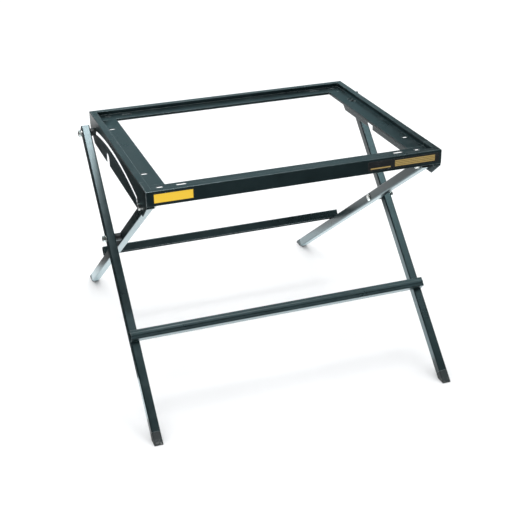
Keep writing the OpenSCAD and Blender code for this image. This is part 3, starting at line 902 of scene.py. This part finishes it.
class STAND_OT_fasteners(bpy.types.Operator):
    """Models the bolts, nuts, washers and spacers of the three pivots"""
    bl_idname = "stand.fasteners"
    bl_label = "Fasteners"

    def right_span(self, node):
        """Where the right-hand one of a mirrored pair lies along X."""
        xs = [v.co.x for v in frame["nodes"][node].data.vertices if v.co.x > 0]
        return min(xs), max(xs)

    def rings(self, node, body, slot, centre, bore, outer, rim):
        """A pair of washers or spacers with small chamfers on their rims."""
        low, high = self.right_span(node)
        piece = turned(node[:-1], [
            (low, bore), (low, outer - rim), (low + rim, outer), (high - rim, outer),
            (high, outer - rim), (high, bore), (low, bore)])
        both_sides(piece, node, body, slot, centre)

    def nuts(self, node, body, centre):
        """A pair of chamfered hexagonal nuts."""
        low, high = self.right_span(node)
        nut = hexagon(node[:-1], low, high, sizes().hex_flats)
        bore = start("nut_bore", bpy.ops.mesh.primitive_cylinder_add, vertices=28,
                     radius=sizes().bolt / 2, depth=(high - low) * 2,
                     location=((low + high) / 2, 0, 0), rotation=(0, math.pi / 2, 0))
        combine(nut, bore, "DIFFERENCE")
        soften(nut, NUT_RIM, segments=1, angle=25.0)
        both_sides(nut, node, body, "zinc_steel", centre)

    def leg_pivots(self, r, hole):
        tip, high = self.right_span("leg_pivot_bolts")
        low = high - HEX_HEAD
        head = hexagon("leg_bolt", low, high, sizes().hex_flats, chamfer_from=False)
        # The thread is outlined towards +X and turned over, because its tip is at a lower X
        thread_end = tip + LEG_THREAD
        thread = [(thread_end - x, y) for x, y in thread_points(0.0, LEG_THREAD, r)]
        shank = turned("leg_shank", [(low + SHANK_BITE, 0.0), (low + SHANK_BITE, r), (thread_end, r),
                                     *thread], segments=28)
        only(head)
        shank.select_set(True)
        bpy.ops.object.join()
        both_sides(head, "leg_pivot_bolts", "top_frame", "zinc_steel", PIVOT)
        self.rings("leg_pivot_spacers", "top_frame", "zinc_steel", PIVOT, hole, WASHER_R, SPACER_RIM)
        self.rings("leg_pivot_washers", "top_frame", "zinc_steel", PIVOT, hole, WASHER_R, WASHER_RIM)
        self.nuts("leg_pivot_nuts", "top_frame", PIVOT)

    def cross_pivots(self, r, hole):
        low, tip = self.right_span("cross_pivot_bolts")
        seat = span("right_inner_leg", X)[0]
        radius, dome, rim = ROUND_HEAD_R, 0.0011, 0.0003
        bolt = turned("cross_bolt", [
            (low, 0.0), (low + 0.0001, radius * 0.45), (low + dome * 0.45, radius * 0.8),
            (low + dome, radius * 0.95), (low + dome * 1.5, radius), (seat - rim, radius),
            (seat - HEAD_GAP, radius - rim), (seat - HEAD_GAP, r), (tip, r), (tip, 0.0)])
        both_sides(bolt, "cross_pivot_bolts", "inner_legs", "zinc_steel", CROSS)
        self.rings("cross_pivot_spacers", "inner_legs", "dark_plastic", CROSS, hole, MOULDED_R,
                   MOULDED_RIM)
        low, high = self.right_span("cross_pivot_studs")
        stud = turned("cross_stud", [(low, 0.0), (low, r),
                                     *thread_points(high - OUTER_THREAD, high, r)], segments=28)
        both_sides(stud, "cross_pivot_studs", "outer_legs", "zinc_steel", CROSS)
        self.rings("cross_pivot_washers", "outer_legs", "zinc_steel", CROSS, hole, WASHER_R,
                   WASHER_RIM)
        self.nuts("cross_pivot_nuts", "outer_legs", CROSS)

    def guides(self, r):
        low, high = self.right_span("guide_bolts")
        seat, radius, rim = HALF_W - sizes().sheet - PLATE_GAP, LOW_HEAD_R, 0.0002
        bolt = turned("guide_bolt", [
            (low, 0.0), (low, radius * 0.8), (low + 0.0006, radius * 0.95), (low + 0.0012, radius),
            (seat - rim, radius), (seat, radius - rim), (seat, r),
            *thread_points(high - OUTER_THREAD, high, r)], segments=36)
        both_sides(bolt, "guide_bolts", "slot_guides", "zinc_steel", GUIDE)
        low, high = self.right_span("guide_spacers")
        shoulder, lead = HALF_W + PLATE_GAP, 0.0002
        spacer = turned("guide_spacer", [
            (low, r), (low, BUSH_R - lead), (low + lead, BUSH_R), (shoulder, BUSH_R),
            (shoulder, MOULDED_R - MOULDED_RIM), (shoulder + MOULDED_RIM, MOULDED_R),
            (high - MOULDED_RIM, MOULDED_R), (high, MOULDED_R - MOULDED_RIM), (high, r), (low, r)])
        both_sides(spacer, "guide_spacers", "slot_guides", "dark_plastic", GUIDE)
        self.rings("guide_washers", "slot_guides", "zinc_steel", GUIDE, r, WASHER_R, WASHER_RIM)
        self.nuts("guide_nuts", "slot_guides", GUIDE)

    def execute(self, context):
        r = sizes().bolt / 2
        self.leg_pivots(r, r + HOLE_PLAY)
        self.cross_pivots(r, r + HOLE_PLAY)
        self.guides(r)
        return {"FINISHED"}


class STAND_OT_stickers(bpy.types.Operator):
    """Models the two plain stickers on the front rail"""
    bl_idname = "stand.stickers"
    bl_label = "Stickers"

    def sticker(self, node, slot, ground, marks=()):
        """A thin film with rounded corners, in its own printed finish."""
        low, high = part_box(node)
        film = start(node + "_film", bpy.ops.mesh.primitive_cube_add, size=1.0,
                     location=(low + high) / 2, scale=high - low)
        edit(film)
        pick(film, "edges", lambda e: edge_along(e, Y))
        bpy.ops.mesh.bevel(offset=sizes().sticker_corner, segments=6, affect="EDGES")
        pick(film, "edges", lambda e: at(e, Y, low.y))
        bpy.ops.mesh.bevel(offset=FILM_BEVEL, segments=1, affect="EDGES")
        done()
        smooth(film, 50.0)
        bounds = ((low.x, high.x), (low.z, high.z))
        finished(film, "top_frame", slot, node, material=sticker_finish(slot, ground, marks, bounds))

    def execute(self, context):
        c = colours()
        self.sticker("small_sticker", "yellow_sticker", c.yellow)
        low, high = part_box("large_sticker")
        rise = high.z - low.z
        rows = [low.z + rise * part for part in (0.24, 0.41, 0.58, 0.75)]
        rules = [(low.x + 0.062, high.x - 0.010, row) for row in rows]
        rules.append((low.x + 0.006, low.x + 0.052, rows[0]))
        self.sticker("large_sticker", "dark_sticker", c.ink, rules)
        return {"FINISHED"}


class STAND_OT_stage(bpy.types.Operator):
    """Sets the pale floor, the sky, the lights, the dark cards and the camera"""
    bl_idname = "stand.stage"
    bl_label = "Stage"

    def floor(self):
        floor = start("studio_floor", bpy.ops.mesh.primitive_grid_add, size=FLOOR_SIZE,
                      x_subdivisions=8, y_subdivisions=8)
        f = Finish("studio_floor")
        tone = f.noise(1.3, detail=3.0)
        shade = f.blend(tone.over(0.3, 0.7) * 0.25, colours().floor, (0.87, 0.88, 0.89))
        f.set(Base_Color=shade, Roughness=0.62 + tone * 0.06, Specular_IOR_Level=0.0)
        floor.data.materials.append(f.material)

    def card(self, name, place, size):
        """A dark card that only reflections see, as a studio flag."""
        card = start(name, bpy.ops.mesh.primitive_grid_add, size=1.0, x_subdivisions=2,
                     y_subdivisions=2)
        edit(card)
        bpy.ops.mesh.select_all(action="SELECT")
        bpy.ops.transform.resize(value=(*size, 1.0))
        done()
        placed(card, Matrix.Translation(place))
        f = Finish(name)
        weave = f.noise(400.0, detail=2.0)
        f.set(Base_Color=(0.004, 0.005, 0.005), Roughness=0.9 + weave * 0.1,
              Specular_IOR_Level=0.0)
        card.data.materials.append(f.material)
        card.visible_camera = card.visible_diffuse = card.visible_shadow = False
        card.visible_transmission = card.visible_volume_scatter = False

    def sky(self):
        """An even pale sky that reflections don't see."""
        world = bpy.data.worlds.new("studio")
        world.use_nodes = True
        ground = next(n for n in world.node_tree.nodes if n.type == "BACKGROUND")
        ground.inputs["Color"].default_value = (*SKY_TINT, 1.0)
        ground.inputs["Strength"].default_value = SKY_STRENGTH
        world.cycles_visibility.glossy = False
        bpy.context.scene.world = world

    def light(self, name, place, direction, size, radiance, tint):
        """A soft rectangular light."""
        data = bpy.data.lights.new(name, "AREA")
        data.shape, data.color = "RECTANGLE", tint
        data.size, data.size_y = size
        data.energy = radiance * math.pi * size[0] * size[1]
        lamp = bpy.data.objects.new(name, data)
        bpy.context.scene.collection.objects.link(lamp)
        lamp.location = place
        lamp.rotation_euler = Vector(direction).to_track_quat("-Z", "Y").to_euler()
        return lamp

    def camera(self):
        camera = bpy.data.cameras.new("camera")
        camera.sensor_width, camera.lens, camera.clip_end = SENSOR_WIDTH, LENS, CAMERA_REACH
        eye = bpy.data.objects.new("camera", camera)
        bpy.context.scene.collection.objects.link(eye)
        yaw, pitch, roll = (math.radians(a) for a in (CAMERA_RIGHT, CAMERA_DOWN, CAMERA_ROLL))
        level = math.cos(pitch)
        forward = Vector((math.sin(yaw) * level, math.cos(yaw) * level, -math.sin(pitch)))
        side = forward.cross(Vector(UP)).normalized()
        over = side.cross(forward)
        right = math.cos(roll) * side + math.sin(roll) * over
        top = -math.sin(roll) * side + math.cos(roll) * over
        pose = Matrix((right, top, -forward)).transposed().to_4x4()
        pose.translation = CAMERA_PLACE
        eye.matrix_world = pose
        bpy.context.scene.camera = eye

    def execute(self, context):
        self.floor()
        for card in CARDS:
            self.card(*card)
        self.sky()
        self.light(*SOFT_LIGHT)
        for highlight in HIGHLIGHTS:
            # Only reflections see it, as a studio reflector
            lamp = self.light(*highlight)
            lamp.visible_camera = lamp.visible_diffuse = False
        self.camera()
        bpy.context.scene.view_settings.view_transform = "Standard"
        return {"FINISHED"}


class STAND_PT_panel(bpy.types.Panel):
    """Lists the stand's sizes, colours and pieces"""
    bl_label = "Folding Work Stand"
    bl_idname = "STAND_PT_panel"
    bl_space_type = "VIEW_3D"
    bl_region_type = "UI"
    bl_category = "Stand"

    def draw(self, context):
        for group in (context.scene.stand_sizes, context.scene.stand_colours):
            box = self.layout.box()
            for key in group.__annotations__:
                box.prop(group, key)
        for operator in OPERATORS:
            self.layout.operator(operator.bl_idname)


OPERATORS = (STAND_OT_rails, STAND_OT_legs, STAND_OT_feet, STAND_OT_crossbars, STAND_OT_fasteners,
             STAND_OT_stickers, STAND_OT_stage)
CLASSES = (StandSizes, StandColours, *OPERATORS, STAND_PT_panel)


def register():
    for cls in CLASSES:
        bpy.utils.register_class(cls)
    bpy.types.Scene.stand_sizes = bpy.props.PointerProperty(type=StandSizes)
    bpy.types.Scene.stand_colours = bpy.props.PointerProperty(type=StandColours)


def unregister():
    del bpy.types.Scene.stand_sizes
    del bpy.types.Scene.stand_colours
    for cls in reversed(CLASSES):
        bpy.utils.unregister_class(cls)


def main():
    register()
    for operator in OPERATORS:
        group, name = operator.bl_idname.split(".")
        getattr(getattr(bpy.ops, group), name)()


if __name__ == "__main__":
    main()
